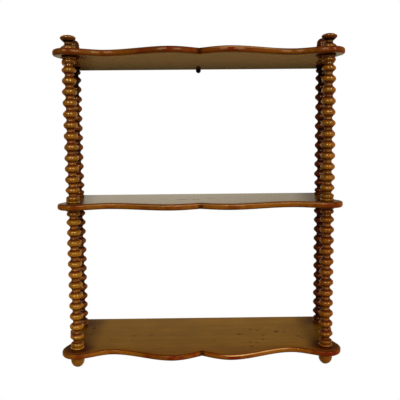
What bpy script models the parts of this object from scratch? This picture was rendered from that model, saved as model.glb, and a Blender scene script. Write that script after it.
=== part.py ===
"""Wall shelf: three serpentine boards carried by bead-turned columns.

Metres, +Z up, +X to the right in the front view. The wall is the plane y = 0 and the room is
towards -Y. The origin is the middle of the hanger plate's back face, which is also the
middle of the top board's thickness.
"""

import math

import bmesh
import bpy
from mathutils import Matrix, Vector

# Boards
BOARD_THICKNESS = 0.0120
BAY_HEIGHT = 0.2815
EDGE_ROUND = 0.0045
WALL_GAP = 0.0002

# Column places: the front axes' distance from the middle, how much wider the back ones stand,
# and the rows' distance from the wall and from each other
FRONT_COLUMN_X = 0.2500
BACK_SPREAD = 0.0210
BACK_MARGIN = 0.0365
ROW_SPACING = 0.1520

# Board outline: reaches towards the room are measured from the front row of columns
CUSP_REACH = 0.0215
LOBE_REACH = 0.0450
LOBE_X = 0.0570
DIP_REACH = 0.0080
DIP_INSET = 0.0700
EAR_REACH = 0.0330
EAR_SIDE_REACH = 0.0295
WAIST_SIDE_REACH = 0.0185
WAIST_SETBACK = 0.0470
BACK_SIDE_REACH = 0.0190
BACK_SIDE_LEAD = 0.0340

# Bead-turned columns
BEAD_COUNT = 12
BEAD_RADIUS = 0.0137
NECK_RADIUS = 0.0075
RING_RADIUS = 0.0136
RING_HEIGHT = 0.0044
GROOVE_RADIUS = 0.0104
GROOVE_HEIGHT = 0.0008
COLLAR_RADIUS = 0.0128
COLLAR_HEIGHT = 0.0088
COLLAR_NECK_RADIUS = 0.0078
COLLAR_NECK_HEIGHT = 0.0026
FIRST_BEAD_RISE = 0.0082

# Front finials: a flared base, a thin stem and a mushroom cap
STEM_BASE_RADIUS = 0.0142
STEM_BASE_HEIGHT = 0.0042
STEM_FLARE_HEIGHT = 0.0070
STEM_RADIUS = 0.0070
STEM_HEIGHT = 0.0022
CAP_RADIUS = 0.0149
CAP_UNDERSIDE_HEIGHT = 0.0094
CAP_TOP_HEIGHT = 0.0054

# Back finials: the column's end turning, then a bead with a round head
HEAD_BEAD_RADIUS = 0.0117
HEAD_BEAD_RISE = 0.0150
HEAD_RADIUS = 0.0111
HEAD_SHOULDER_HEIGHT = 0.0055

# Feet
FOOT_RADIUS = 0.0134
FOOT_STRAIGHT = 0.0110
FOOT_DOME_HEIGHT = 0.0148

# Spigots and sockets
SPIGOT_RADIUS = 0.0045
SPIGOT_ENGAGEMENT = 0.0120
FIT_CLEARANCE = 0.0003

# Hanger plate: a bar let into the top board's back edge, with a tongue below the board
BAR_WIDTH = 0.0440
BAR_HEIGHT = 0.0092
BAR_DEPTH = 0.0045
TONGUE_WIDTH = 0.0112
TONGUE_DROP = 0.0082
TONGUE_THICKNESS = 0.0022
SCREW_INSET = 0.0070
SCREW_HEAD_RADIUS = 0.0031
SCREW_HEAD_HEIGHT = 0.0019
SCREW_RIM_HEIGHT = 0.0005
SCREW_SHANK_RADIUS = 0.0015
SCREW_LENGTH = 0.0160
SCREW_SLOT_WIDTH = 0.0008
SCREW_SLOT_DEPTH = 0.0008

# Facets round a turned piece, round a screw, along a curve's stretch, and along a dome, bulge or sweep
TURNED_STEPS = 12
SCREW_STEPS = 10
OUTLINE_STEPS = 6
DOME_STEPS = 5
BULGE_STEPS = 4
SWEEP_STEPS = 3

# Handle length of a quarter circle, the most of a board's half thickness that its edge may round off,
# and how far a cutter reaches past what it cuts
CIRCLE_HANDLE = 0.5523
MOST_ROUND = 0.9
CUTTER_MARGIN = 0.0100

# Places that follow from the sizes above
BACK_COLUMN_X = FRONT_COLUMN_X + BACK_SPREAD
BACK_ROW_Y = -WALL_GAP - BACK_MARGIN
FRONT_ROW_Y = BACK_ROW_Y - ROW_SPACING
TIER_STEP = BAY_HEIGHT + BOARD_THICKNESS
COLUMN_LENGTH = BAY_HEIGHT - 2 * FIT_CLEARANCE
SEAT_HEIGHT = BOARD_THICKNESS / 2 + FIT_CLEARANCE
HOLE_RADIUS = SPIGOT_RADIUS + FIT_CLEARANCE
SPIGOT_LENGTH = BOARD_THICKNESS + 2 * FIT_CLEARANCE + SPIGOT_ENGAGEMENT
SOCKET_DEPTH = SPIGOT_ENGAGEMENT + FIT_CLEARANCE
COLUMN_PLACES = {
    "front_left": (-FRONT_COLUMN_X, FRONT_ROW_Y),
    "front_right": (FRONT_COLUMN_X, FRONT_ROW_Y),
    "back_left": (-BACK_COLUMN_X, BACK_ROW_Y),
    "back_right": (BACK_COLUMN_X, BACK_ROW_Y),
}


def clear_scene():
    for obj in list(bpy.data.objects):
        bpy.data.objects.remove(obj, do_unlink=True)


def new_collection(name):
    collection = bpy.data.collections.new(name)
    bpy.context.scene.collection.children.link(collection)
    return collection


def finish(name, colour, roughness, metallic=0.0):
    """A plain Principled material."""
    material = bpy.data.materials.new(name)
    material.use_nodes = True
    shader = material.node_tree.nodes["Principled BSDF"]
    shader.inputs["Base Color"].default_value = (*colour, 1.0)
    shader.inputs["Roughness"].default_value = roughness
    shader.inputs["Metallic"].default_value = metallic
    return material


def add_part(name, mesh, material, location=(0, 0, 0), rotation=(0, 0, 0)):
    part = bpy.data.objects.new(name, mesh)
    PARTS.objects.link(part)
    if not mesh.materials:
        mesh.materials.append(material)
    part.location = location
    part.rotation_euler = rotation
    part.parent = SHELF_ORIGIN
    return part


def add_cutter(name, mesh, location=(0, 0, 0), rotation=(0, 0, 0)):
    cutter = bpy.data.objects.new(name, mesh)
    CUTTERS.objects.link(cutter)
    cutter.location = location
    cutter.rotation_euler = rotation
    cutter.hide_render = True
    cutter.display_type = "WIRE"
    return cutter


def combine(part, other, operation):
    modifier = part.modifiers.new(f"{operation.lower()} {other.name}", "BOOLEAN")
    modifier.operation = operation
    modifier.object = other
    modifier.solver = "EXACT"


def box_mesh(name, low, high):
    """A box between two corners."""
    low = Vector(low)
    high = Vector(high)
    mesh = bpy.data.meshes.new(name)
    shape = bmesh.new()
    bmesh.ops.create_cube(shape, size=1.0)
    bmesh.ops.scale(shape, vec=high - low, verts=shape.verts)
    bmesh.ops.translate(shape, vec=(high + low) / 2, verts=shape.verts)
    shape.to_mesh(mesh)
    shape.free()
    return mesh


def rod_mesh(name, radius, low, high, steps):
    """A round rod on the Z axis."""
    mesh = bpy.data.meshes.new(name)
    shape = bmesh.new()
    bmesh.ops.create_cone(
        shape,
        cap_ends=True,
        segments=steps,
        radius1=radius,
        radius2=radius,
        depth=high - low,
        matrix=Matrix.Translation((0, 0, (high + low) / 2)),
    )
    shape.to_mesh(mesh)
    shape.free()
    return mesh


def profile_mesh(name, profile):
    """The half section of a turned piece: (radius, height) pairs from its top down to its bottom."""
    mesh = bpy.data.meshes.new(name)
    points = [(radius, 0.0, height) for radius, height in profile]
    mesh.from_pydata(points, [(i, i + 1) for i in range(len(points) - 1)], [])
    return mesh


def turn(obj, steps):
    """Turns a half section once round the Z axis."""
    screw = obj.modifiers.new("turning", "SCREW")
    screw.axis = "Z"
    screw.angle = math.tau
    screw.steps = steps
    screw.render_steps = steps
    screw.use_merge_vertices = True
    screw.merge_threshold = 0.00001
    screw.use_smooth_shade = True
    return obj


def quarter_dome(radius, base, rise):
    """Points of a dome's half section, from its edge to just before its tip, on a quarter ellipse."""
    angles = [math.pi / 2 * i / DOME_STEPS for i in range(DOME_STEPS)]
    return [(radius * math.cos(a), base + rise * math.sin(a)) for a in angles]


def bulge(start_radius, crest_radius, end_radius, start, height):
    """A rounded swelling as (radius, distance): two quarter ellipses that meet at its crest."""
    points = []
    for i in range(BULGE_STEPS + 1):
        angle = math.pi * i / BULGE_STEPS
        foot = start_radius if angle < math.pi / 2 else end_radius
        radius = foot + (crest_radius - foot) * math.sin(angle)
        points.append((radius, start + height * (1 - math.cos(angle)) / 2))
    return points


def sweep(start, end):
    """Points between two (radius, distance) ends, leaving both out, with the radius on a smooth step."""
    points = []
    for i in range(1, SWEEP_STEPS):
        t = i / SWEEP_STEPS
        ease = t * t * (3 - 2 * t)
        points.append((start[0] + (end[0] - start[0]) * ease, start[1] + (end[1] - start[1]) * t))
    return points


def end_turning():
    """The turning at a column's end, as (radius, distance from the end): ring, groove, collar and neck."""
    collar_start = RING_HEIGHT + GROOVE_HEIGHT
    neck_end = collar_start + COLLAR_HEIGHT + COLLAR_NECK_HEIGHT
    ring = bulge(GROOVE_RADIUS, RING_RADIUS, GROOVE_RADIUS, 0.0, RING_HEIGHT)
    collar = bulge(GROOVE_RADIUS, COLLAR_RADIUS, COLLAR_NECK_RADIUS, collar_start, COLLAR_HEIGHT)
    return ring + collar + [(COLLAR_NECK_RADIUS, neck_end)]


def column_side():
    """A column's outer side, from its top end at height 0 down to its bottom end.

    Between the two end turnings the beads follow a cosine wave, four points to a bead.
    """
    end = end_turning()
    first = end[-1][1] + FIRST_BEAD_RISE
    end = end + sweep(end[-1], (BEAD_RADIUS, first))
    pitch = (COLUMN_LENGTH - 2 * first) / (BEAD_COUNT - 1)
    middle = (BEAD_RADIUS + NECK_RADIUS) / 2
    swing = (BEAD_RADIUS - NECK_RADIUS) / 2
    beads = []
    for quarter in range(4 * (BEAD_COUNT - 1) + 1):
        radius = middle + swing * math.cos(quarter * math.pi / 2)
        beads.append((radius, -first - quarter * pitch / 4))
    top = [(radius, -down) for radius, down in end]
    bottom = [(radius, down - COLUMN_LENGTH) for radius, down in reversed(end)]
    return top + beads + bottom


def socket_mouth(end):
    """A socket in a turned piece's top end, from its floor on the axis up to its mouth."""
    return [(0.0, end - SOCKET_DEPTH), (HOLE_RADIUS, end - SOCKET_DEPTH), (HOLE_RADIUS, end)]


def spigot_below(end):
    """A spigot under a turned piece's bottom end, down to its tip on the axis."""
    return [(SPIGOT_RADIUS, end), (SPIGOT_RADIUS, end - SPIGOT_LENGTH), (0.0, end - SPIGOT_LENGTH)]


def upper_column_profile():
    return socket_mouth(0.0) + column_side() + spigot_below(-COLUMN_LENGTH)


def lower_column_profile():
    floor = -COLUMN_LENGTH + SOCKET_DEPTH
    socket = [(HOLE_RADIUS, -COLUMN_LENGTH), (HOLE_RADIUS, floor), (0.0, floor)]
    return socket_mouth(0.0) + column_side() + socket


def front_finial_profile():
    """The mushroom finial: a domed cap with a swept underside, a thin stem and a flared base."""
    base_edge = (STEM_BASE_RADIUS, STEM_BASE_HEIGHT)
    stem_foot = (STEM_RADIUS, STEM_BASE_HEIGHT + STEM_FLARE_HEIGHT)
    stem_head = (STEM_RADIUS, stem_foot[1] + STEM_HEIGHT)
    rim = (CAP_RADIUS, stem_head[1] + CAP_UNDERSIDE_HEIGHT)
    tip = (0.0, rim[1] + CAP_TOP_HEIGHT)
    rising = [(STEM_BASE_RADIUS, 0.0), base_edge] + sweep(base_edge, stem_foot)
    rising += [stem_foot, stem_head] + sweep(stem_head, rim)
    rising += quarter_dome(CAP_RADIUS, rim[1], CAP_TOP_HEIGHT) + [tip]
    return list(reversed(rising)) + spigot_below(0.0)


def back_finial_profile():
    """The peg finial: the column's end turning, one bead and a round head on its shoulder."""
    rising = end_turning()
    neck = rising[-1]
    crest = (HEAD_BEAD_RADIUS, neck[1] + HEAD_BEAD_RISE)
    head = (HEAD_RADIUS, crest[1] + HEAD_SHOULDER_HEIGHT)
    tip = (0.0, head[1] + HEAD_RADIUS)
    rising += sweep(neck, crest) + [crest] + sweep(crest, head)
    rising += quarter_dome(HEAD_RADIUS, head[1], HEAD_RADIUS) + [tip]
    return list(reversed(rising)) + spigot_below(0.0)


def foot_profile():
    """The dome foot, with its spigot standing up through the board; height 0 is its seat."""
    dome = quarter_dome(FOOT_RADIUS, FOOT_STRAIGHT, FOOT_DOME_HEIGHT)
    return (
        [(0.0, SPIGOT_LENGTH), (SPIGOT_RADIUS, SPIGOT_LENGTH), (SPIGOT_RADIUS, 0.0), (FOOT_RADIUS, 0.0)]
        + [(radius, -down) for radius, down in dome]
        + [(0.0, -FOOT_STRAIGHT - FOOT_DOME_HEIGHT)]
    )


def knot(at, before, after):
    """A curve's knot with its two handles, given as steps from the knot."""
    return (at, at + before, at + after)


def flipped(step):
    """A point or step on the other side of the middle."""
    return Vector((-step.x, step.y, 0.0))


def outline_knots(past_wall):
    """The board outline, once round from the cusp, with its straight back edge past the wall.

    Between neighbouring knots each handle is a third of the way long, so the front waves and the
    sides are smooth steps. The ear's corner is a quarter ellipse, and the lobes meet at the cusp
    with the slope of a quarter sine.
    """
    across = Vector((1.0, 0.0, 0.0))
    back = Vector((0.0, 1.0, 0.0))
    side_x = BACK_COLUMN_X + BACK_SIDE_REACH
    cusp = Vector((0.0, FRONT_ROW_Y - CUSP_REACH, 0.0))
    lobe = Vector((LOBE_X, FRONT_ROW_Y - LOBE_REACH, 0.0))
    dip = Vector((FRONT_COLUMN_X - DIP_INSET, FRONT_ROW_Y - DIP_REACH, 0.0))
    ear_front = Vector((FRONT_COLUMN_X, FRONT_ROW_Y - EAR_REACH, 0.0))
    ear_side = Vector((FRONT_COLUMN_X + EAR_SIDE_REACH, FRONT_ROW_Y, 0.0))
    waist = Vector((FRONT_COLUMN_X + WAIST_SIDE_REACH, FRONT_ROW_Y + WAIST_SETBACK, 0.0))
    side = Vector((side_x, BACK_ROW_Y - BACK_SIDE_LEAD, 0.0))
    corner = Vector((side_x, past_wall, 0.0))

    lobe_run = across * (lobe.x - cusp.x) / 3
    dip_run = across * (dip.x - lobe.x) / 3
    ear_run = across * (ear_front.x - dip.x) / 3
    ear_across = across * EAR_SIDE_REACH * CIRCLE_HANDLE
    ear_back = back * EAR_REACH * CIRCLE_HANDLE
    waist_run = back * (waist.y - ear_side.y) / 3
    side_run = back * (side.y - waist.y) / 3
    corner_run = back * (corner.y - side.y) / 3
    edge_run = across * side_x / 3
    cusp_run = lobe_run + back * (lobe.y - cusp.y) / 3 * math.pi / 2

    right = [
        knot(lobe, -lobe_run, dip_run),
        knot(dip, -dip_run, ear_run),
        knot(ear_front, -ear_run, ear_across),
        knot(ear_side, -ear_back, waist_run),
        knot(waist, -waist_run, side_run),
        knot(side, -side_run, corner_run),
        knot(corner, -corner_run, -edge_run),
    ]
    left = [(flipped(at), flipped(after), flipped(before)) for at, before, after in reversed(right)]
    return [knot(cusp, flipped(cusp_run), cusp_run)] + right + left


def plate_mesh(name, knots, thickness, edge_round):
    """A flat outline filled to a thickness, with rounded edges, as a mesh with welded caps."""
    curve = bpy.data.curves.new(name, "CURVE")
    curve.dimensions = "2D"
    curve.fill_mode = "BOTH"
    curve.resolution_u = OUTLINE_STEPS
    curve.extrude = thickness / 2 - edge_round
    curve.bevel_depth = edge_round
    curve.bevel_resolution = 1
    curve.offset = -edge_round
    spline = curve.splines.new("BEZIER")
    spline.bezier_points.add(len(knots) - 1)
    spline.use_cyclic_u = True
    for point, (at, before, after) in zip(spline.bezier_points, knots):
        point.handle_left_type = "FREE"
        point.handle_right_type = "FREE"
        point.co = at
        point.handle_left = before
        point.handle_right = after
    drawn = bpy.data.objects.new(name, curve)
    CUTTERS.objects.link(drawn)
    graph = bpy.context.evaluated_depsgraph_get()
    mesh = bpy.data.meshes.new_from_object(drawn.evaluated_get(graph))
    bpy.data.objects.remove(drawn, do_unlink=True)
    shape = bmesh.new()
    shape.from_mesh(mesh)
    bmesh.ops.remove_doubles(shape, verts=shape.verts, dist=0.000001)
    bmesh.ops.recalc_face_normals(shape, faces=shape.faces)
    shape.to_mesh(mesh)
    shape.free()
    mesh.name = name
    return mesh


def add_boards(material):
    """The three boards, trimmed square along the wall and bored for the spigots."""
    edge_round = min(EDGE_ROUND, MOST_ROUND * BOARD_THICKNESS / 2)
    past_wall = edge_round + CUTTER_MARGIN
    outline = plate_mesh("board", outline_knots(past_wall), BOARD_THICKNESS, edge_round)
    reach = BACK_COLUMN_X + BACK_SIDE_REACH + CUTTER_MARGIN
    lowest = -2 * TIER_STEP - BOARD_THICKNESS / 2 - CUTTER_MARGIN
    highest = BOARD_THICKNESS / 2 + CUTTER_MARGIN
    low_corner = (-reach, -WALL_GAP, lowest)
    high_corner = (reach, past_wall + CUTTER_MARGIN, highest)
    trim = add_cutter("wall_trim", box_mesh("wall_trim", low_corner, high_corner))
    bore_mesh = rod_mesh("spigot_bore", HOLE_RADIUS, lowest, highest, TURNED_STEPS)
    bores = [add_cutter(f"bore_{place}", bore_mesh, (x, y, 0)) for place, (x, y) in COLUMN_PLACES.items()]
    boards = []
    for tier, name in enumerate(("top_shelf", "middle_shelf", "bottom_shelf")):
        board = add_part(name, outline, material, (0, 0, -tier * TIER_STEP))
        for cutter in [trim] + bores:
            combine(board, cutter, "DIFFERENCE")
        boards.append(board)
    return boards


def add_columns(material):
    """Four upper columns with spigots below, and four lower ones with a socket at each end."""
    upper = profile_mesh("upper_column", upper_column_profile())
    lower = profile_mesh("lower_column", lower_column_profile())
    upper_seat = -SEAT_HEIGHT
    lower_seat = -SEAT_HEIGHT - TIER_STEP
    for place, (x, y) in COLUMN_PLACES.items():
        turn(add_part(f"upper_column_{place}", upper, material, (x, y, upper_seat)), TURNED_STEPS)
        turn(add_part(f"lower_column_{place}", lower, material, (x, y, lower_seat)), TURNED_STEPS)


def add_finials(material):
    """Mushroom finials on the front columns and taller pegs on the back ones."""
    front = profile_mesh("front_finial", front_finial_profile())
    back = profile_mesh("back_finial", back_finial_profile())
    for place, (x, y) in COLUMN_PLACES.items():
        shape = front if place.startswith("front") else back
        turn(add_part(f"finial_{place}", shape, material, (x, y, SEAT_HEIGHT)), TURNED_STEPS)


def add_feet(material):
    """A dome foot under each column."""
    shape = profile_mesh("foot", foot_profile())
    seat = -SEAT_HEIGHT - 2 * TIER_STEP
    for place, (x, y) in COLUMN_PLACES.items():
        turn(add_part(f"foot_{place}", shape, material, (x, y, seat)), TURNED_STEPS)


def tongue_knots():
    """The tongue's front outline: straight sides from the middle of the bar, and a round lower end."""
    across = Vector((1.0, 0.0, 0.0))
    up = Vector((0.0, 1.0, 0.0))
    half = TONGUE_WIDTH / 2
    tip = Vector((0.0, -BOARD_THICKNESS / 2 - TONGUE_DROP, 0.0))
    shoulder = tip + across * half + up * half
    top = across * half
    side_run = up * (top.y - shoulder.y) / 3
    top_run = across * TONGUE_WIDTH / 3
    bend_down = up * half * CIRCLE_HANDLE
    bend_across = across * half * CIRCLE_HANDLE
    right = [knot(top, -top_run, -side_run), knot(shoulder, side_run, -bend_down)]
    left = [(flipped(at), flipped(after), flipped(before)) for at, before, after in reversed(right)]
    return right + [knot(tip, bend_across, -bend_across)] + left


def screw_profile(spread, top):
    """A countersunk screw along Z, with its head's face at height 0.

    A spread widens it into its own clearance hole, which then runs out to the given top.
    """
    head = SCREW_HEAD_RADIUS + spread
    shank = SCREW_SHANK_RADIUS + spread
    tip = -SCREW_LENGTH - spread
    return [
        (0.0, top),
        (head, top),
        (head, -SCREW_RIM_HEIGHT),
        (shank, -SCREW_HEAD_HEIGHT),
        (shank, tip + SCREW_SHANK_RADIUS),
        (0.0, tip),
    ]


def add_hanger(top_board, steel):
    """The hanger plate in its recess, and the two screws that hold it."""
    half_width = BAR_WIDTH / 2
    half_height = BAR_HEIGHT / 2
    bar_mesh = box_mesh("hanger_bar", (-half_width, -BAR_DEPTH, -half_height), (half_width, 0.0, half_height))
    plate = add_part("hanger_plate", bar_mesh, steel)

    tongue_mesh = plate_mesh("tongue", tongue_knots(), TONGUE_THICKNESS, 0.0)
    tongue_y = -BAR_DEPTH + TONGUE_THICKNESS / 2
    upright = (math.pi / 2, 0, 0)
    combine(plate, add_cutter("hanger_tongue", tongue_mesh, (0, tongue_y, 0), upright), "UNION")

    gap = FIT_CLEARANCE
    past_wall = CUTTER_MARGIN
    recess = box_mesh(
        "bar_recess",
        (-half_width - gap, -BAR_DEPTH - gap, -half_height - gap),
        (half_width + gap, past_wall, half_height + gap),
    )
    combine(top_board, add_cutter("bar_recess", recess), "DIFFERENCE")
    notch_half = TONGUE_WIDTH / 2 + gap
    notch = box_mesh(
        "tongue_notch",
        (-notch_half, -BAR_DEPTH - gap, -BOARD_THICKNESS / 2 - CUTTER_MARGIN),
        (notch_half, past_wall, 0.0),
    )
    combine(top_board, add_cutter("tongue_notch", notch), "DIFFERENCE")

    screw_mesh = profile_mesh("hanger_screw", screw_profile(0.0, 0.0))
    hole_mesh = profile_mesh("screw_hole", screw_profile(FIT_CLEARANCE, CUTTER_MARGIN))
    slot_mesh = box_mesh(
        "screw_slot",
        (-SCREW_HEAD_RADIUS - gap, -SCREW_SLOT_WIDTH / 2, -SCREW_SLOT_DEPTH),
        (SCREW_HEAD_RADIUS + gap, SCREW_SLOT_WIDTH / 2, CUTTER_MARGIN),
    )
    head_to_wall = (-math.pi / 2, 0, 0)
    screw_x = half_width - SCREW_INSET
    for side, x in (("left", -screw_x), ("right", screw_x)):
        head = (x, -FIT_CLEARANCE, 0)
        screw = turn(add_part(f"hanger_screw_{side}", screw_mesh, steel, head, head_to_wall), SCREW_STEPS)
        combine(screw, add_cutter(f"slot_{side}", slot_mesh, head, head_to_wall), "DIFFERENCE")
        hole = turn(add_cutter(f"screw_hole_{side}", hole_mesh, head, head_to_wall), SCREW_STEPS)
        combine(plate, hole, "DIFFERENCE")
        combine(top_board, hole, "DIFFERENCE")


clear_scene()
PARTS = new_collection("wall_shelf")
CUTTERS = new_collection("wall_shelf_cutters")
SHELF_ORIGIN = bpy.data.objects.new("shelf_origin", None)
PARTS.objects.link(SHELF_ORIGIN)

BOARD_WOOD = finish("varnished_board_wood", (0.190, 0.085, 0.018), 0.28)
TURNED_WOOD = finish("varnished_turned_wood", (0.200, 0.070, 0.010), 0.25)
STEEL = finish("blackened_steel", (0.012, 0.010, 0.010), 0.45, 1.0)

top_board = add_boards(BOARD_WOOD)[0]
add_columns(TURNED_WOOD)
add_finials(TURNED_WOOD)
add_feet(TURNED_WOOD)
add_hanger(top_board, STEEL)
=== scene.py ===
"""Wall shelf of serpentine boards on bead-turned columns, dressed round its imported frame.

Metres, +Z up, +X to the right in the front view, the wall at y = 0 and the room towards -Y.
"""
import math

import bmesh
import bpy
import numpy as np
from mathutils import Euler, Matrix, Vector


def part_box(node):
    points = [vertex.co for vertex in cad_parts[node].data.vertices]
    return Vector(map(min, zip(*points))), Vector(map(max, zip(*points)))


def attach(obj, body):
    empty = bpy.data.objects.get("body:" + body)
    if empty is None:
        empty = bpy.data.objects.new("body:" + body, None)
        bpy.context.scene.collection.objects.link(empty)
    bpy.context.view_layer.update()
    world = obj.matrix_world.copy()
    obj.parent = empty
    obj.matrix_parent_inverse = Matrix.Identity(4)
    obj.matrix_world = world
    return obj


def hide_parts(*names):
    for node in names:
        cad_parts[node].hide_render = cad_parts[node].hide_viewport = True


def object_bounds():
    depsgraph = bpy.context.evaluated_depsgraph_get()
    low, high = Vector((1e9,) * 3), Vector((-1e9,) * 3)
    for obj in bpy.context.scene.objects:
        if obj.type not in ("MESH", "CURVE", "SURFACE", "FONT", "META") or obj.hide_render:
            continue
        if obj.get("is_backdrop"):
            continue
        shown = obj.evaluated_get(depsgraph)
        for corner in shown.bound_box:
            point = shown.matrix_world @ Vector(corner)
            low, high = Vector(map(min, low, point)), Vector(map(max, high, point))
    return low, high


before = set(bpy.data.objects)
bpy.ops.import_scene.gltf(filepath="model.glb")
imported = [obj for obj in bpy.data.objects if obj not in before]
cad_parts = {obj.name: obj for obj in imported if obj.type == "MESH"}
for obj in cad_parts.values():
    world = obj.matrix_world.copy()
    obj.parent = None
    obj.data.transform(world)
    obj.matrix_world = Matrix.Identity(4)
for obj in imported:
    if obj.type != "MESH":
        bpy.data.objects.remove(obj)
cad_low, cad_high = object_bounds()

PLACES = ("front_left", "front_right", "back_left", "back_right")
BOARDS = ("top_shelf", "middle_shelf", "bottom_shelf")
STEEL_PIECES = ("hanger_plate", "hanger_screw_left", "hanger_screw_right")

# Camera, as fitted to the photograph: its place, its turns in degrees, and its lens and sensor in mm
CAMERA_PLACE = (-0.01096, -1.2594, -0.18094)
CAMERA_YAW = 0.546
CAMERA_PITCH = 5.483
CAMERA_ROLL = -0.537
CAMERA_LENS = 49.264
CAMERA_SENSOR = 36.0

# Lamps: name, azimuth and elevation in degrees, distance, width and height, power, colour, and what they light.
# The soft ones light the matt part of a surface, the glints show in the varnish only
SOFT_WHITE = (1.0, 0.95, 0.87)
WARM_GLINT = (1.0, 0.76, 0.36)
LAMPS = (
    ("soft_left", -19.5, 18, 4.2, (2.0, 1.8), 48, SOFT_WHITE, "diffuse"),
    ("soft_right", 28.5, 16, 4.8, (2.0, 1.8), 128, SOFT_WHITE, "diffuse"),
    ("glint_left", -19.5, 20, 4.2, (1.6, 1.3), 132, WARM_GLINT, "glossy"),
    ("glint_right", 28.5, 18, 4.8, (1.75, 1.4), 150, WARM_GLINT, "glossy"),
)

# Boards: rounding of their edges, and the outline's knots on the right half
EDGE_ROUND = 0.0045
CUSP = (0.0, -0.2102)
LOBE = (0.0570, -0.2337)
DIP = (0.1800, -0.1967)
EAR_FRONT = (0.2500, -0.2217)
EAR_SIDE = (0.2795, -0.1887)
WAIST = (0.2685, -0.1417)
SIDE = (0.2900, -0.0707)
CORNER = (0.2900, -0.0002)
QUARTER_HANDLE = 0.5523

# Recess for the hanger in the top board's back edge
RECESS_GAP = 0.0003
RECESS_OVERRUN = 0.01
BAR_HALF_HEIGHT = 0.0046
NOTCH_HALF_WIDTH = 0.0059

# Bead-turned columns; stain is darkest at the darkest hollow's depth, measured between crests within reach
BEAD_COUNT = 12
BEAD_RADIUS = 0.0137
NECK_RADIUS = 0.0075
RING_RADIUS = 0.0136
RING_HEIGHT = 0.0044
GROOVE_RADIUS = 0.0104
GROOVE_HEIGHT = 0.0008
COLLAR_RADIUS = 0.0128
COLLAR_HEIGHT = 0.0088
COLLAR_NECK_RADIUS = 0.0078
COLLAR_NECK_HEIGHT = 0.0026
FIRST_BEAD_RISE = 0.0082
CREST_BLUNTNESS = 1.1
DARKEST_HOLLOW = 0.0093
HOLLOW_REACH = 0.016

# Spread of hand turning, and the seed it is drawn from
BEAD_SPREAD = 0.00022
PITCH_SPREAD = 0.00030
SPREAD_SEED = 12

# Columns' places on both sides: distance from the middle, and depth in front of the wall
FRONT_COLUMN_X = 0.2500
FRONT_COLUMN_DEPTH = 0.1887
BACK_COLUMN_X = 0.2710
BACK_COLUMN_DEPTH = 0.0367

# Finials and feet
STEM_BASE_RADIUS = 0.0142
STEM_BASE_HEIGHT = 0.0042
STEM_FLARE_HEIGHT = 0.0070
STEM_RADIUS = 0.0070
STEM_HEIGHT = 0.0022
CAP_RADIUS = 0.0149
CAP_UNDERSIDE_HEIGHT = 0.0094
CAP_TOP_HEIGHT = 0.0054
HEAD_BEAD_RADIUS = 0.0117
HEAD_BEAD_RISE = 0.0150
HEAD_RADIUS = 0.0111
HEAD_SHOULDER_HEIGHT = 0.0055
FOOT_RADIUS = 0.0134
FOOT_STRAIGHT = 0.0110
FOOT_DOME_HEIGHT = 0.0148
CAP_RIM = STEM_BASE_HEIGHT + STEM_FLARE_HEIGHT + STEM_HEIGHT + CAP_UNDERSIDE_HEIGHT

# Painted shade and stain on the turned pieces, as shares of the darkest hollow: painted shade below a board by
# distance from it, on a front finial by height (painted shade in the ring round the stem's foot and under the cap),
# and the least stain on a back finial
UPPER_END_SHADE = ((0.0, 0.0026, 0.0044, 0.0060, 0.0140, 0.0170), (1.0, 0.9, 0.30, 0.22, 0.18, 0.0))
FRONT_FINIAL_SHADE = (
    (0.0072, 0.0084, 0.0110, 0.0122, 0.0138, 0.0148, CAP_RIM - 0.0046, CAP_RIM - 0.0030, CAP_RIM),
    (0.66, 1.00, 1.00, 0.66, 0.66, 1.00, 1.00, 0.45, 0.06),
)
BACK_FINIAL_STAIN = 0.12

# Painted shade in stretches below the top and middle boards: heights where they begin, are full and end
PAINTED_SHADE_STRETCHES = ((-0.095, -0.040, 0.0), (-0.335, -0.308, -0.2935))

# Finishes of the turned pieces by place, or by piece where one has its own:
# stain on the crests, the steep sides and the necks, how bright the varnish is, and how dark the painted shade below
# the boards is
TURNED_FINISHES = {
    "front_left": ("#80500D", "#4E1C05", "#7A480F", 1.0, 0.0),
    "front_right": ("#7A460C", "#4C1804", "#6C3E10", 0.75, 0.0),
    # The back places' darker tones partly paint the shade at the back of the shelf
    "back_left": ("#643208", "#2C0B02", "#4E260C", 0.5, 0.65),
    "back_right": ("#4C1C06", "#240702", "#3A150A", 0.20, 0.65),
    "lower_column_front_left": ("#8E5C10", "#501E05", "#7C4A10", 1.0, 0.0),
    "upper_column_front_right": ("#804E0C", "#4C1C04", "#6E4410", 0.75, 0.0),
    "lower_column_front_right": ("#784208", "#4A1804", "#74420F", 0.60, 0.0),
    "finial_back_left": ("#4A2208", "#2C0E03", "#3A1A08", 0.10, 0.0),
    "finial_back_right": ("#501C05", "#2E0C03", "#3C1606", 0.10, 0.0),
}

# Dents in the bottom board's upper face, in mm and degrees: middle, half lengths and turn
BOTTOM_DENTS = (
    (-239, -67, 7.0, 3.2, 62), (-240, -108, 2.6, 3.4, 0), (-190, -142, 2.4, 3.0, 0), (-142, -119, 4.6, 2.2, 0),
    (-107, -118, 5.0, 1.8, 0), (-144, -147, 3.0, 2.0, 0), (108, -86, 2.8, 3.4, 0), (122, -93, 3.0, 2.8, 0),
    (163, -104, 5.4, 5.0, 20), (179, -108, 5.0, 2.6, 0), (132, -126, 2.4, 2.8, 0), (128, -151, 4.0, 2.6, 0),
    (100, -165, 2.4, 3.2, 0), (114, -170, 2.2, 2.6, 0), (101, -190, 2.6, 3.0, 0), (205, -133, 5.2, 2.6, -12),
    (214, -141, 4.4, 2.0, 0), (-63, -115, 2.2, 2.4, 0), (28, -155, 1.8, 3.0, 0), (81, -117, 6.6, 3.4, 0),
)

# Scratches along the middle board's upper face, given in the same way
MIDDLE_SCRATCHES = (
    (-36, -133, 13.0, 2.4, 0), (-9, -136, 10.0, 2.2, 0), (22, -118, 8.0, 1.8, 0), (-74, -126, 8.0, 1.6, 0),
)
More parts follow.
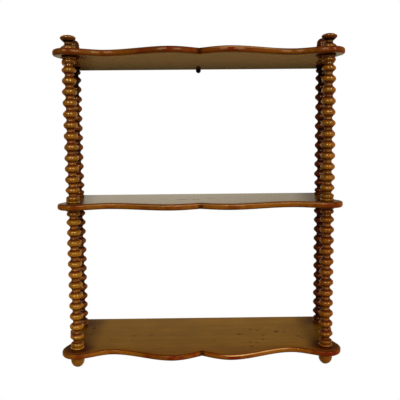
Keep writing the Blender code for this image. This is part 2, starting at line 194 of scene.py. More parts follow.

# Finishes of the boards: the nose's gold and the red of its patches, how much redder it is on the lobes and to the
# right, the pale line on it, a painted highlight with rubbed wear (start, end and strength), the upper face's stain
# and roughness, and its marks
BOARD_FINISHES = {
    "top_shelf": {
        "nose_gold": "#6A3A0B", "nose_red": "#5E2006", "lobe_red": 0.40, "right_red": 0.0,
        "wear_and_highlight_line": (0.01, 0.17, 0.35), "face": "#744E13", "polish": 0.22, "marks": (),
    },
    "middle_shelf": {
        "nose_gold": "#7A460E", "nose_red": "#622206", "lobe_red": 0.0, "right_red": 0.2,
        "wear_and_highlight_line": (-0.24, 0.26, 0.30), "face": "#724C13", "polish": 0.16, "marks": MIDDLE_SCRATCHES,
    },
    "bottom_shelf": {
        "nose_gold": "#824C0E", "nose_red": "#661E06", "lobe_red": 0.35, "right_red": 0.45,
        "wear_and_highlight_line": (0.03, 0.19, 0.9), "face": "#7C5414", "polish": 0.26, "marks": BOTTOM_DENTS,
    },
}

# Floor, far below the hung shelf
FLOOR_HEIGHT = -1.9
FLOOR_RADIUS = 2.1
FLOOR_STEPS = 96

# How fine the surfaces are; points closer than the seam are merged, and edges past the sharp angle stay crisp
ROUND_STEPS = 72
BEAD_STEPS = 14
CURVE_STEPS = 200
OUTLINE_STEPS = 301
FACE_ROWS = 12
NOSE_STEPS = 11
SEAM = 0.000002
SHARP_ANGLE = math.radians(40)

# Sockets of a Mix node, for colours and for numbers, and the setting of an eased range
MIX_A, MIX_B, MIX_OUT = 6, 7, 2
MIX_LOW, MIX_HIGH = 2, 3
EASED = {"interpolation_type": "SMOOTHSTEP"}


def linear(code):
    """An sRGB hex colour as linear RGBA."""
    srgb = np.array([int(code[i:i + 2], 16) for i in (1, 3, 5)]) / 255
    low = srgb / 12.92
    high = ((srgb + 0.055) / 1.055) ** 2.4
    return (*np.where(srgb <= 0.04045, low, high).tolist(), 1.0)


BLACK = linear("#000000")
WHITE = linear("#FFFFFF")


def plug(tree, node, inputs):
    """Sets a node's inputs by place or by name, each to a value or to the socket it is linked from."""
    for key, value in inputs.items() if isinstance(inputs, dict) else enumerate(inputs):
        if isinstance(value, bpy.types.NodeSocket):
            tree.links.new(value, node.inputs[key])
        else:
            node.inputs[key].default_value = value


def put(tree, kind, inputs=(), stops=(), **settings):
    """Adds a node with its settings, its inputs and, on a ramp, its stops from the lowest up as (place, colour)."""
    node = tree.nodes.new("ShaderNode" + kind)
    for name, value in settings.items():
        setattr(node, name, value)
    plug(tree, node, inputs)
    if stops:
        ramp = node.color_ramp.elements
        ramp.remove(ramp[1])
        ramp[0].position, ramp[0].color = stops[0]
        for position, colour in stops[1:]:
            ramp.new(position).color = colour
    return node


def start_finish(name):
    """A new material with its node tree, its shader and the piece's own coordinates."""
    material = bpy.data.materials.new(name)
    material.use_nodes = True
    tree = material.node_tree
    return material, tree, tree.nodes["Principled BSDF"], put(tree, "TexCoord").outputs["Object"]


def skin(name, grid, caps, hollow=None):
    """A mesh over a grid of rings, each ring closed on itself, with an n-gon over each listed row of points.

    The depth of the hollow, one value to a ring, is kept as an attribute for the stain and the painted shade.
    """
    rings, steps = grid.shape[:2]
    index = np.arange(rings * steps).reshape(rings, steps)
    near = index[:-1]
    far = index[1:]
    quads = np.stack([near, np.roll(near, -1, 1), np.roll(far, -1, 1), far], axis=-1).reshape(-1, 4)
    mesh = bpy.data.meshes.new(name)
    mesh.from_pydata(grid.reshape(-1, 3).tolist(), [], quads.tolist() + [index[cap].tolist() for cap in caps])
    if hollow is not None:
        depth = mesh.attributes.new("hollow", "FLOAT", "POINT")
        depth.data.foreach_set("value", np.repeat(hollow, steps).astype(np.float32))
    shape = bmesh.new()
    shape.from_mesh(mesh)
    bmesh.ops.remove_doubles(shape, verts=shape.verts, dist=SEAM)
    bmesh.ops.recalc_face_normals(shape, faces=shape.faces)
    shape.to_mesh(mesh)
    shape.free()
    mesh.polygons.foreach_set("use_smooth", np.ones(len(mesh.polygons), bool))
    mesh.set_sharp_from_angle(angle=SHARP_ANGLE)
    piece = bpy.data.objects.new(name, mesh)
    bpy.context.scene.collection.objects.link(piece)
    return piece


def dress(piece, node, material):
    """The piece stands for a CAD node of the one body and finish."""
    piece.data.materials.clear()
    piece.data.materials.append(material)
    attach(piece, "root")
    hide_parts(node)


def smooth_step(t):
    """From 0 to 1 with level ends: 3 t squared less 2 t cubed."""
    return t * t * (3 - 2 * t)


def swelling(start_radius, crest_radius, end_radius, start, height, steps=15):
    """Two quarter ellipses that meet at a crest, as rows of (radius, distance)."""
    angle = np.linspace(0, math.pi, steps)
    foot = np.where(angle < math.pi / 2, start_radius, end_radius)
    radius = foot + (crest_radius - foot) * np.sin(angle)
    return np.column_stack([radius, start + height * (1 - np.cos(angle)) / 2])


def sweep(start, end, steps=13, fullness=0.0):
    """From one (radius, distance) to another, the radius on a smooth step; the first point is left out.

    Fullness blends the smooth step with a quarter sine, which rounds the far end out.
    """
    t = np.linspace(0, 1, steps)[1:]
    rise = smooth_step(t) + (np.sin(t * math.pi / 2) - smooth_step(t)) * fullness
    radius = start[0] + (end[0] - start[0]) * rise
    return np.column_stack([radius, start[1] + (end[1] - start[1]) * t])


def dome(radius, base, rise, steps=18):
    """A quarter ellipse from a rim to the tip on the axis, as rows of (radius, distance)."""
    angle = np.linspace(0, math.pi / 2, steps)[1:]
    return np.column_stack([radius * np.cos(angle), base + rise * np.sin(angle)])


def end_turning():
    """Ring, groove, collar and neck at a column's end, as rows of (radius, distance from the end)."""
    collar = RING_HEIGHT + GROOVE_HEIGHT
    neck = collar + COLLAR_HEIGHT + COLLAR_NECK_HEIGHT
    return np.vstack([
        swelling(GROOVE_RADIUS, RING_RADIUS, GROOVE_RADIUS, 0.0, RING_HEIGHT),
        swelling(GROOVE_RADIUS, COLLAR_RADIUS, COLLAR_NECK_RADIUS, collar, COLLAR_HEIGHT),
        [(COLLAR_NECK_RADIUS, neck)],
    ])


def column_profile(length, draw):
    """A column's side from its lower end up: an end turning, a row of beads and the other end turning.

    Crests and necks are knots whose radius and place vary a little, as hand turning does. From a crest to
    a neck the radius falls on a smooth step of the fifth order, drawn out near the crest to leave it blunt.
    """
    turning = end_turning()
    first = turning[-1, 1] + FIRST_BEAD_RISE
    knots = 2 * BEAD_COUNT - 1
    place = np.linspace(first, length - first, knots)
    place[1:-1] += draw.normal(0, PITCH_SPREAD, knots - 2)
    radius = np.where(np.arange(knots) % 2 == 0, BEAD_RADIUS, NECK_RADIUS)
    radius = radius + draw.normal(0, BEAD_SPREAD, knots)
    along = np.linspace(0, knots - 1, BEAD_STEPS * (knots - 1) + 1)
    before = np.minimum(along.astype(int), knots - 2)
    part = along - before
    from_crest = np.where(before % 2 == 0, part, 1 - part) ** CREST_BLUNTNESS
    fall = from_crest ** 3 * (10 - 15 * from_crest + 6 * from_crest ** 2)
    wave = np.where(before % 2 == 0, fall, 1 - fall)
    beads = np.column_stack([
        radius[before] + (radius[before + 1] - radius[before]) * wave,
        place[before] + (place[before + 1] - place[before]) * part,
    ])
    lower = np.vstack([turning, sweep(turning[-1], (radius[0], first))[:-1]])
    upper = np.vstack([turning, sweep(turning[-1], (radius[-1], first))[:-1]])[::-1]
    upper = np.column_stack([upper[:, 0], length - upper[:, 1]])
    return np.vstack([lower, beads, upper])


def front_finial_profile():
    """Mushroom finial from its seat up: a flared base, a thin stem, a swept underside and a domed cap."""
    base = (STEM_BASE_RADIUS, STEM_BASE_HEIGHT)
    foot = (STEM_RADIUS, base[1] + STEM_FLARE_HEIGHT)
    head = (STEM_RADIUS, foot[1] + STEM_HEIGHT)
    rim = (CAP_RADIUS, head[1] + CAP_UNDERSIDE_HEIGHT)
    return np.vstack([
        [(STEM_BASE_RADIUS, 0.0), base],
        sweep(base, foot),
        [head],
        sweep(head, rim, steps=21, fullness=0.5),
        dome(CAP_RADIUS, rim[1], CAP_TOP_HEIGHT),
    ])


def back_finial_profile():
    """Peg finial from its seat up: an end turning, one bead and a round head on its shoulder."""
    turning = end_turning()
    crest = (HEAD_BEAD_RADIUS, turning[-1, 1] + HEAD_BEAD_RISE)
    head = (HEAD_RADIUS, crest[1] + HEAD_SHOULDER_HEIGHT)
    return np.vstack([
        turning,
        sweep(turning[-1], crest),
        sweep(crest, head),
        dome(HEAD_RADIUS, head[1], HEAD_RADIUS),
    ])


def foot_profile():
    """Dome foot from its seat down: a short straight side and a quarter ellipse to its tip."""
    return np.vstack([
        [(FOOT_RADIUS, 0.0), (FOOT_RADIUS, FOOT_STRAIGHT)],
        dome(FOOT_RADIUS, FOOT_STRAIGHT, FOOT_DOME_HEIGHT, steps=28),
    ])


def hollow_depth(radius, height):
    """How far each point of a profile lies below the lower of the crests within reach on its two sides."""
    gap = height[None, :] - height[:, None]
    above = np.where((gap >= 0) & (gap <= HOLLOW_REACH), radius[None, :], 0).max(1)
    below = np.where((gap <= 0) & (gap >= -HOLLOW_REACH), radius[None, :], 0).max(1)
    return np.minimum(above, below) - radius


def turned(name, profile, axis, seat, rise, hollow):
    """A surface of revolution: each (radius, distance) is carried once round the axis at seat + rise * distance.

    An end that does not run to a point on the axis gets a cap.
    """
    radius, distance = profile.T
    angle = np.linspace(0, math.tau, ROUND_STEPS, endpoint=False)
    height = np.broadcast_to((seat + rise * distance)[:, None], (len(radius), ROUND_STEPS))
    x = axis[0] + radius[:, None] * np.cos(angle)
    y = axis[1] + radius[:, None] * np.sin(angle)
    caps = [row for row in (0, -1) if radius[row] > SEAM]
    return skin(name, np.stack([x, y, height], axis=-1), caps, hollow)


def half_outline():
    """The outline from the cusp round to the wall: evenly spaced points, outward normals and shares of the way.

    Cubic Bezier curves join the knots. Between knots the handles are thirds of the run, so the waves
    are smooth steps; the ear's corner is a quarter ellipse, and the lobe leaves the cusp with the
    slope of a quarter sine. At the cusp the normal is drawn out to the mitre of the two lobes.
    """
    knots = np.array([CUSP, LOBE, DIP, EAR_FRONT, EAR_SIDE, WAIST, SIDE, CORNER])
    run = (knots[1:] - knots[:-1]) / 3
    across = run * (1, 0)
    back = run * (0, 1)
    leave = np.vstack([across[:3], across[3:4] * 3 * QUARTER_HANDLE, back[4:]])
    arrive = np.vstack([across[:3], back[3:4] * 3 * QUARTER_HANDLE, back[4:]])
    leave[0] += back[0] * math.pi / 2
    t = np.linspace(0, 1, CURVE_STEPS, endpoint=False)[:, None, None]
    start, end = knots[:-1], knots[1:]
    curve = (
        (1 - t) ** 3 * start
        + 3 * (1 - t) ** 2 * t * (start + leave)
        + 3 * (1 - t) * t ** 2 * (end - arrive)
        + t ** 3 * end
    )
    points = np.vstack([curve.transpose(1, 0, 2).reshape(-1, 2), knots[-1:]])
    travelled = np.append(0, np.cumsum(np.linalg.norm(np.diff(points, axis=0), axis=1)))
    even = np.linspace(0, travelled[-1], OUTLINE_STEPS)
    points = np.column_stack([np.interp(even, travelled, points[:, axis]) for axis in (0, 1)])
    tangent = np.gradient(points, axis=0)
    tangent /= np.linalg.norm(tangent, axis=1, keepdims=True)
    normal = np.column_stack([tangent[:, 1], -tangent[:, 0]])
    normal[0] = (0, 1 / normal[0, 1])
    normal[-1] = (1, 0)
    return points, normal, even / even[-1]


def board(name, low, high):
    """A board as a section carried along its outline.

    Each section starts on the straight back edge, crosses the upper face to the outline, goes round the
    nose (a quarter circle, a short flat and a quarter circle) and crosses the lower face back to the wall.
    """
    points, normal, share = half_outline()
    mirror = (-1, 1)
    outline = np.vstack([points[:0:-1] * mirror, points])
    outward = np.vstack([normal[:0:-1] * mirror, normal])
    share = np.append(-share[:0:-1], share)

    turn = np.linspace(0, math.pi / 2, NOSE_STEPS)
    inset = EDGE_ROUND * (1 - np.sin(turn))
    drop = EDGE_ROUND * (1 - np.cos(turn))
    inset = np.append(inset, inset[::-1])
    height = np.append(high.z - drop, low.z + drop[::-1])
    nose = np.empty((len(outline), len(inset), 3))
    nose[..., :2] = outline[:, None] - outward[:, None] * inset[None, :, None]
    nose[..., 2] = height

    wall = np.empty((len(outline), 1, 3))
    wall[:, 0, 0] = share * (CORNER[0] - EDGE_ROUND)
    wall[:, 0, 1] = high.y
    across = np.linspace(0, 1, FACE_ROWS, endpoint=False)[None, :, None]
    wall[..., 2] = high.z
    upper = wall + (nose[:, :1] - wall) * across
    wall[..., 2] = low.z
    lower = wall + (nose[:, -1:] - wall) * across[:, ::-1]
    grid = np.concatenate([upper, nose, lower], axis=1)

    round_end = slice(FACE_ROWS, FACE_ROWS + len(inset))
    return skin(name, grid, [(0, round_end), (-1, round_end)])


def box_corners(name, low, high):
    """A box between two corners."""
    corners = np.array([low, high])
    pick = np.array([(0, 0, 0), (1, 0, 0), (1, 1, 0), (0, 1, 0), (0, 0, 1), (1, 0, 1), (1, 1, 1), (0, 1, 1)])
    mesh = bpy.data.meshes.new(name)
    sides = [(3, 2, 1, 0), (4, 5, 6, 7), (0, 1, 5, 4), (1, 2, 6, 5), (2, 3, 7, 6), (3, 0, 4, 7)]
    mesh.from_pydata(corners[pick, np.arange(3)].tolist(), [], sides)
    piece = bpy.data.objects.new(name, mesh)
    bpy.context.scene.collection.objects.link(piece)
    return piece


def cut(piece, *cutters):
    """Takes the cutters' volumes out of a piece, and removes the cutters."""
    for cutter in cutters:
        modifier = piece.modifiers.new(cutter.name, "BOOLEAN")
        modifier.operation = "DIFFERENCE"
        modifier.object = cutter
        modifier.solver = "EXACT"
    graph = bpy.context.evaluated_depsgraph_get()
    mesh = bpy.data.meshes.new_from_object(piece.evaluated_get(graph))
    piece.modifiers.clear()
    piece.data = mesh
    mesh.set_sharp_from_angle(angle=SHARP_ANGLE)
    for cutter in cutters:
        bpy.data.objects.remove(cutter, do_unlink=True)


def turned_beech(name, axis, crest, side, neck, varnish, painted_shade):
    """Turned beech, stained red-brown and varnished.

    Polish has worn the crests to gold, stain is left as a dark line on the steep sides of each hollow, the
    neck between is a little paler, shade below the boards and under the caps is painted in dark stain colours, the
    varnish shows small bright lamps, and a few knocks are dark.
    """
    material, tree, shader, where = start_finish(f"varnished_turned_beech_{name}")
    centred = put(tree, "Mapping", (where, (-axis[0], -axis[1], 0))).outputs[0]

    # Stain by the depth of the hollow: crest, steep side and neck; the darkest stop is painted shade below the boards
    # and under the caps
    depth = put(tree, "Attribute", attribute_name="hollow").outputs["Fac"]
    share = put(tree, "MapRange", (depth, 0, DARKEST_HOLLOW)).outputs[0]
    stains_and_shade = ((0.04, crest), (0.32, side), (0.53, side), (0.67, neck), (1.0, "#180604"))
    wood = put(tree, "ValToRGB", (share,), [(at, linear(code)) for at, code in stains_and_shade]).outputs[0]

    # Fibres run along the column, 1.2 mm wide and 30 mm long, coarser than beech has so that they show.
    # Clouds in the stain are 30 mm across, and knocks 5.5 mm
    lengthwise = put(tree, "Mapping", {0: centred, "Scale": (1, 1, 0.04)}).outputs[0]
    fibre = put(tree, "TexNoise", {"Vector": lengthwise, "Scale": 1 / 0.0012, "Detail": 3.0}).outputs["Fac"]
    cloud = put(tree, "TexNoise", {"Vector": centred, "Scale": 1 / 0.030, "Detail": 2.0}).outputs["Fac"]
    knock = put(tree, "TexNoise", {"Vector": centred, "Scale": 1 / 0.0055, "Detail": 1.0}).outputs["Fac"]
    for pattern, least, most in ((fibre, 0.85, 1.12), (cloud, 0.82, 1.15)):
        tone = put(tree, "MapRange", (pattern, 0.3, 0.7, least, most)).outputs[0]
        wood = put(tree, "VectorMath", {0: wood, "Scale": tone}, operation="SCALE").outputs[0]

    # Painted shade in stretches below the boards, and a few dark knocks
    height = put(tree, "SeparateXYZ", (where,)).outputs["Z"]
    for begin, full, end in PAINTED_SHADE_STRETCHES:
        rising = put(tree, "MapRange", (height, begin, full, 0, painted_shade), **EASED).outputs[0]
        below = put(tree, "Math", (height, end), operation="LESS_THAN").outputs[0]
        shaded_share = put(tree, "Math", (rising, below), operation="MULTIPLY").outputs[0]
        kept = put(tree, "Math", (1.0, shaded_share), operation="SUBTRACT").outputs[0]
        wood = put(tree, "VectorMath", {0: wood, "Scale": kept}, operation="SCALE").outputs[0]
    knocked = put(tree, "MapRange", (knock, 0.67, 0.75, 0, 0.75)).outputs[0]
    wood = put(tree, "Mix", {0: knocked, MIX_A: wood, MIX_B: linear("#2A0F05")}, data_type="RGBA").outputs[MIX_OUT]

    # Varnish: bright on the crests, thin on the steep sides, and half as bright on the necks
    coats = ((0.04, 1.0), (0.30, 0.1), (0.55, 0.1), (0.66, 0.5), (0.82, 0.1))
    coat = put(tree, "ValToRGB", (share,), [(at, (part * varnish,) * 3 + (1,)) for at, part in coats]).outputs[0]
    plug(tree, shader, {
        "Base Color": wood,
        "Roughness": put(tree, "MapRange", (share, 0.04, 0.8, 0.25, 0.42)).outputs[0],
        "Normal": put(tree, "Bump", {"Height": fibre, "Strength": 0.05, "Distance": 0.0004}).outputs[0],
        "Specular IOR Level": 0.12,
        "Coat Weight": coat,
        "Coat Roughness": 0.17,
    })
    return material


def board_beech(name, middle, nose_gold, nose_red, lobe_red, right_red, wear_and_highlight_line, face, polish, marks):
    """Planed beech board, stained and varnished.

    Its grain runs from side to side. The nose is worn to orange with redder patches and dark along its upper arris,
    with painted shade along its lower arris and in the cleft between its lobes and a pale line of painted highlight
    and rubbed wear; the underside has an olive, thinner coat with painted shade towards the wall, painted shade and
    reflection of the columns lie round them and as bands between them, and dents and scratches in the upper face have
    filled with dark wax.
    """
    material, tree, shader, where = start_finish(f"varnished_beech_{name}")
    centred = put(tree, "Mapping", (where, (0, 0, -middle))).outputs[0]
    place = put(tree, "SeparateXYZ", (centred,)).outputs
    from_middle = put(tree, "Math", (place["X"],), operation="ABSOLUTE").outputs[0]
    turn = put(tree, "SeparateXYZ", (put(tree, "NewGeometry").outputs["Normal"],)).outputs
    facing = turn["Z"]
    above = put(tree, "MapRange", (facing, 0.82, 0.98), **EASED).outputs[0]
    below = put(tree, "MapRange", (facing, -0.75, -0.95), **EASED).outputs[0]

    # Fibres run along the board, 1.4 mm wide and 40 mm long, coarser than beech has so that they show.
    # The figure is 12 mm wide, clouds in the stain are 60 mm across, and patches on the nose 45 mm
    lengthwise = put(tree, "Mapping", {0: centred, "Scale": (0.035, 1, 1)}).outputs[0]
    fibre = put(tree, "TexNoise", {"Vector": lengthwise, "Scale": 1 / 0.0014, "Detail": 3.0}).outputs["Fac"]
    figure = put(
        tree, "TexNoise", {"Vector": lengthwise, "Scale": 1 / 0.012, "Detail": 3.0, "Distortion": 0.6}
    ).outputs["Fac"]
    cloud = put(tree, "TexNoise", {"Vector": centred, "Scale": 1 / 0.060, "Detail": 2.0}).outputs["Fac"]
    patch = put(tree, "TexNoise", {"Vector": centred, "Scale": 1 / 0.045, "Detail": 2.0}).outputs["Fac"]

    # Nose: orange, red-brown in patches and more so on the lobes and to the right
    patches = put(tree, "MapRange", (patch, 0.44, 0.64, 0, 0.75), **EASED).outputs[0]
    rightward = put(tree, "MapRange", (place["X"], 0.15, 0.25, 0, right_red)).outputs[0]
    lobes = put(tree, "MapRange", (from_middle, 0.150, 0.075, 0, lobe_red), **EASED).outputs[0]
    redness = put(tree, "Math", (patches, rightward), operation="ADD").outputs[0]
    redness = put(tree, "Math", (redness, lobes), operation="ADD", use_clamp=True).outputs[0]
    nose_colours = {0: redness, MIX_A: linear(nose_gold), MIX_B: linear(nose_red)}
    wood = put(tree, "Mix", nose_colours, data_type="RGBA").outputs[MIX_OUT]
    arris = put(tree, "MapRange", (facing, 0.28, 0.62, 0, 0.75), **EASED).outputs[0]
    # Painted shade along the lower arris, which faces down, and in the cleft between the lobes
    lower_arris_shade = put(tree, "MapRange", (facing, -0.1, -0.7, 0, 0.6), **EASED).outputs[0]
    cleft_shade = put(tree, "MapRange", (from_middle, 0.008, 0.001, 0, 0.8), **EASED).outputs[0]
    back_edge = put(tree, "MapRange", (turn["Y"], 0.6, 0.9)).outputs[0]

    # A pale broken line follows the nose just below the upper arris: a painted highlight, with rubbed wear
    start, end, strength = wear_and_highlight_line
    line = ((0.12, BLACK), (0.28, WHITE), (0.56, WHITE), (0.70, BLACK))
    highlight_and_wear = put(tree, "ValToRGB", (facing,), line).outputs[0]
    onset = put(tree, "MapRange", (place["X"], start, start + 0.03), **EASED).outputs[0]
    close = put(tree, "MapRange", (place["X"], end, end - 0.03), **EASED).outputs[0]
    broken = put(tree, "MapRange", (patch, 0.35, 0.60, 0.6 * strength, strength)).outputs[0]
    for part in (onset, close, broken):
        highlight_and_wear = put(tree, "Math", (highlight_and_wear, part), operation="MULTIPLY").outputs[0]

    # Upper face: redder towards the nose. Underside: darker towards the wall, painted shade
    forward = put(tree, "MapRange", (place["Y"], -0.14, -0.225, 0, 0.4), **EASED).outputs[0]
    face_colours = {0: forward, MIX_A: linear(face), MIX_B: linear("#5A2808")}
    upper = put(tree, "Mix", face_colours, data_type="RGBA").outputs[MIX_OUT]
    wall_shade = put(tree, "MapRange", (place["Y"], -0.13, 0.0)).outputs[0]
    under_colours = {0: wall_shade, MIX_A: linear("#704212"), MIX_B: linear("#260E03")}
    under = put(tree, "Mix", under_colours, data_type="RGBA").outputs[MIX_OUT]

    # Painted shade and reflection round the four columns, which stand alike on the left and right
    half = put(tree, "VectorMath", (centred,), operation="ABSOLUTE").outputs[0]
    half = put(tree, "VectorMath", (half, (1, 1, 0)), operation="MULTIPLY").outputs[0]
    rings = []
    for column in ((FRONT_COLUMN_X, FRONT_COLUMN_DEPTH, 0), (BACK_COLUMN_X, BACK_COLUMN_DEPTH, 0)):
        away = put(tree, "VectorMath", (half, column), operation="DISTANCE").outputs["Value"]
        rings.append(put(tree, "MapRange", (away, 0.044, 0.018, 0, 0.95), **EASED).outputs[0])
    column_shade = put(tree, "Math", rings, operation="MAXIMUM").outputs[0]
    flat = put(tree, "Math", (above, below), operation="MAXIMUM").outputs[0]
    column_shade = put(tree, "Math", (column_shade, flat), operation="MULTIPLY").outputs[0]

    # Darker bands between the front and back columns on the upper face, a painted reflection of the columns' shadows
    reflected_shadow_band = put(tree, "MapRange", (from_middle, 0.205, 0.240, 0, 0.7), **EASED).outputs[0]
    behind = put(tree, "MapRange", (place["Y"], -0.20, -0.17)).outputs[0]
    for part in (behind, above):
        reflected_shadow_band = put(tree, "Math", (reflected_shadow_band, part), operation="MULTIPLY").outputs[0]

    # Layers over the nose's wood, from the first to the last, and then the grain and the gloss
    layers = (
        (arris, linear("#4A1E08")),
        (lower_arris_shade, linear("#4A1E08")),
        (cleft_shade, linear("#241004")),
        (highlight_and_wear, linear("#D6A062")),
        (back_edge, linear("#5E3A10")),
        (above, upper),
        (below, under),
        (column_shade, linear("#3C0A02")),
        (reflected_shadow_band, linear("#462602")),
    )
    for share, colour in layers:
        wood = put(tree, "Mix", {0: share, MIX_A: wood, MIX_B: colour}, data_type="RGBA").outputs[MIX_OUT]
    for pattern, least, most in ((fibre, 0.84, 1.12), (figure, 0.87, 1.11), (cloud, 0.90, 1.10)):
        tone = put(tree, "MapRange", (pattern, 0.3, 0.7, least, most)).outputs[0]
        wood = put(tree, "VectorMath", {0: wood, "Scale": tone}, operation="SCALE").outputs[0]
    gloss = put(tree, "MapRange", (above, 0, 1, 0.15, polish)).outputs[0]
    gloss = put(tree, "Mix", {0: below, MIX_LOW: gloss, MIX_HIGH: 0.09}, data_type="FLOAT").outputs[0]
    height = fibre

    # Marks: each an ellipse sunk into the upper face and dull with wax, all joined into one mask
    mask = None
    for mark_x, mark_y, long, wide, angle in marks:
        middle_at = (mark_x / 1000, mark_y / 1000, 0)
        spread = (long / 1000, wide / 1000, 1)
        inside = put(
            tree, "Mapping", (centred, middle_at, (0, 0, math.radians(angle)), spread), vector_type="TEXTURE"
        ).outputs[0]
        reach = put(tree, "VectorMath", (inside,), operation="LENGTH").outputs["Value"]
        mark = put(tree, "MapRange", (reach, 1.35, 0.5), **EASED).outputs[0]
        mask = mark if mask is None else put(tree, "Math", (mask, mark), operation="MAXIMUM").outputs[0]
    if marks:
        mask = put(tree, "Math", (mask, above), operation="MULTIPLY").outputs[0]
        waxed = put(tree, "Math", (mask, 0.75), operation="MULTIPLY").outputs[0]
        wood = put(tree, "Mix", {0: waxed, MIX_A: wood, MIX_B: linear("#2C1606")}, data_type="RGBA").outputs[MIX_OUT]
        gloss = put(tree, "Mix", {0: mask, MIX_LOW: gloss, MIX_HIGH: 0.7}, data_type="FLOAT").outputs[0]
        height = put(tree, "Math", (mask, -8.0, fibre), operation="MULTIPLY_ADD").outputs[0]

    plug(tree, shader, {
        "Base Color": wood,
        "Roughness": gloss,
        "Normal": put(tree, "Bump", {"Height": height, "Strength": 0.006, "Distance": 0.0004}).outputs[0],
        "Specular IOR Level": 0.08,
    })
    return material


def blackened_steel():
    """Forged steel, blackened in oil: near black, with a dull broken sheen from scale marks 1.5 mm across."""
    material, tree, shader, where = start_finish("oil_blackened_steel")
    scale_marks = put(tree, "TexNoise", {"Vector": where, "Scale": 1 / 0.0015, "Detail": 4.0}).outputs["Fac"]
    blacks = {0: scale_marks, MIX_A: linear("#0B090A"), MIX_B: linear("#2A2624")}
    plug(tree, shader, {
        "Base Color": put(tree, "Mix", blacks, data_type="RGBA").outputs[MIX_OUT],
        "Roughness": put(tree, "MapRange", (scale_marks, 0, 1, 0.35, 0.65)).outputs[0],
        "Normal": put(tree, "Bump", {"Height": scale_marks, "Strength": 0.2, "Distance": 0.0003}).outputs[0],
        "Metallic": 1.0,
    })
    return material


def add_lamp(name, azimuth, elevation, distance, size, power, colour, lights):
    """A soft lamp, placed by its direction from the middle of the shelf and aimed there."""
    middle = (cad_low + cad_high) / 2
    a = math.radians(azimuth)
    e = math.radians(elevation)
    towards = Vector((math.sin(a) * math.cos(e), -math.cos(a) * math.cos(e), math.sin(e)))
    light = bpy.data.lights.new(name, "AREA")
    light.shape = "RECTANGLE"
    light.size, light.size_y = size
    light.energy = power
    light.color = colour
    lamp = bpy.data.objects.new(name, light)
    lamp.location = middle + towards * distance
    lamp.rotation_euler = towards.to_track_quat("Z", "Y").to_euler()
    lamp.visible_glossy = lights == "glossy"
    lamp.visible_diffuse = lights == "diffuse"
    bpy.context.scene.collection.objects.link(lamp)


